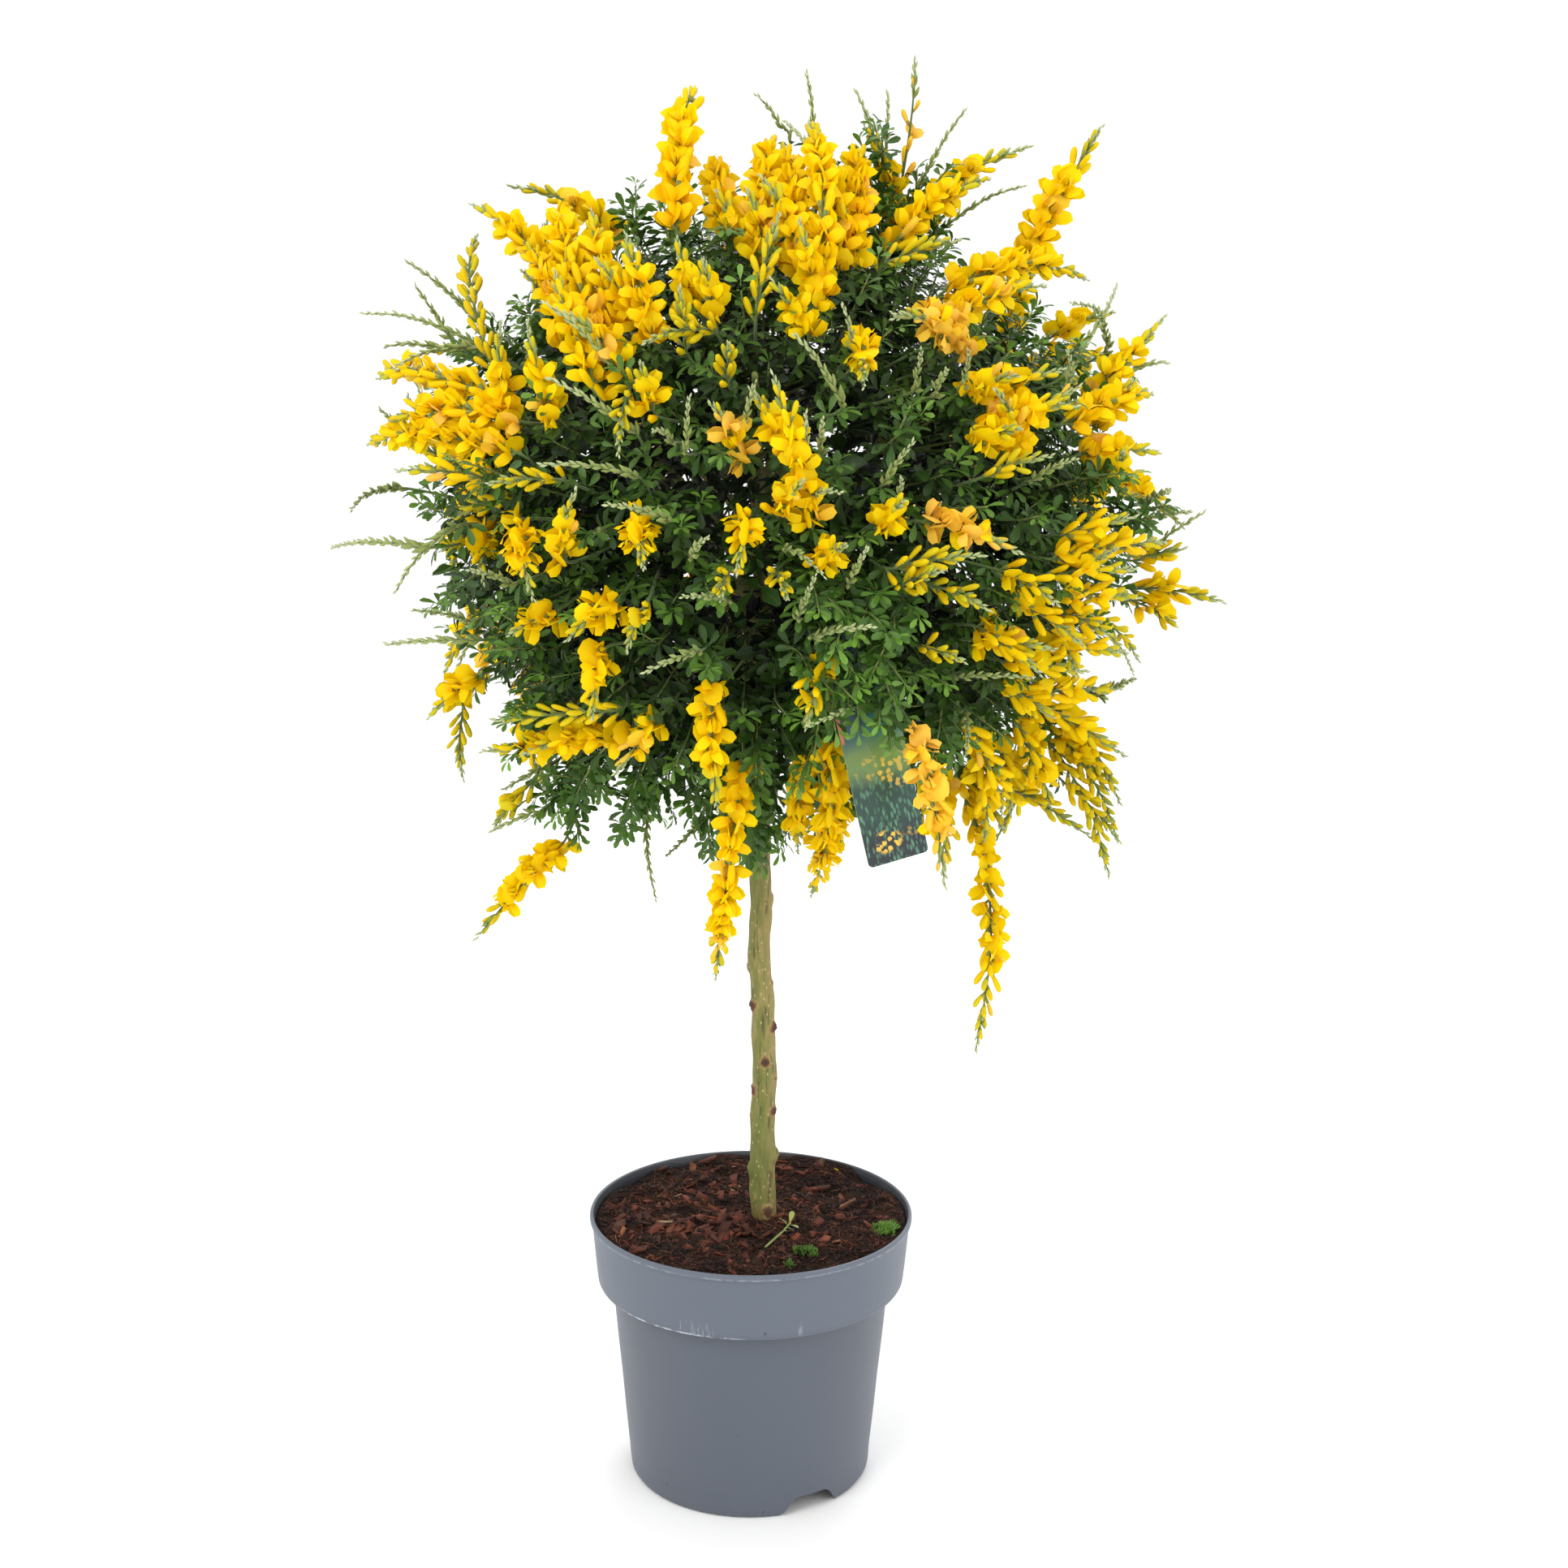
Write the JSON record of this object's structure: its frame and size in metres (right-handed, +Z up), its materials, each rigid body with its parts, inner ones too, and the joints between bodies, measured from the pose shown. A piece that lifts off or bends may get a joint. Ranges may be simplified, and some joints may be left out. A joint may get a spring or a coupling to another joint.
{
  "type": "potted standard broom",
  "caption": "Standard broom shrub: a ball of leafy boughs with racemes of yellow pea flowers on a straight stem, in soil in a round plastic nursery pot, with a plain hang label.",
  "frame": {"origin": "centre of the pot's foot ring, on the ground", "axes": "+Z up along the stem, -Y towards the front that the label hangs on, +X to the right of that front"},
  "size_m": [0.605, 0.5787, 1.0211],
  "materials": {
    "pot": "slightly shiny slate grey-blue moulded plastic",
    "soil": "damp dark brown peat with bark chips",
    "bark": "matt olive green bark, browner near the soil",
    "leaves": "satin dark green leaflets and green shoots",
    "petals": "soft satin bright yellow petals",
    "card": "glossy printed sheet plastic, teal green"
  },
  "bodies": {
    "root": {"pot": "pot", "soil": "soil", "stem": "bark", "label": "card", "bough_01": "leaves", "racemes_01": "petals", "bough_02": "leaves", "racemes_02": "petals", "bough_03": "leaves", "racemes_03": "petals", "bough_04": "leaves", "racemes_04": "petals", "bough_05": "leaves", "racemes_05": "petals", "bough_06": "leaves", "racemes_06": "petals", "bough_07": "leaves", "racemes_07": "petals", "bough_08": "leaves", "racemes_08": "petals", "bough_09": "leaves", "racemes_09": "petals", "bough_10": "leaves", "racemes_10": "petals", "bough_11": "leaves", "racemes_11": "petals", "bough_12": "leaves", "racemes_12": "petals", "bough_13": "leaves", "racemes_13": "petals", "bough_14": "leaves", "racemes_14": "petals", "bough_15": "leaves", "racemes_15": "petals", "bough_16": "leaves", "racemes_16": "petals", "bough_17": "leaves", "racemes_17": "petals", "bough_18": "leaves", "racemes_18": "petals", "bough_19": "leaves", "racemes_19": "petals", "bough_20": "leaves", "racemes_20": "petals", "bough_21": "leaves", "racemes_21": "petals", "bough_22": "leaves", "racemes_22": "petals", "bough_23": "leaves", "racemes_23": "petals", "bough_24": "leaves", "racemes_24": "petals"}
  },
  "joints": []
}
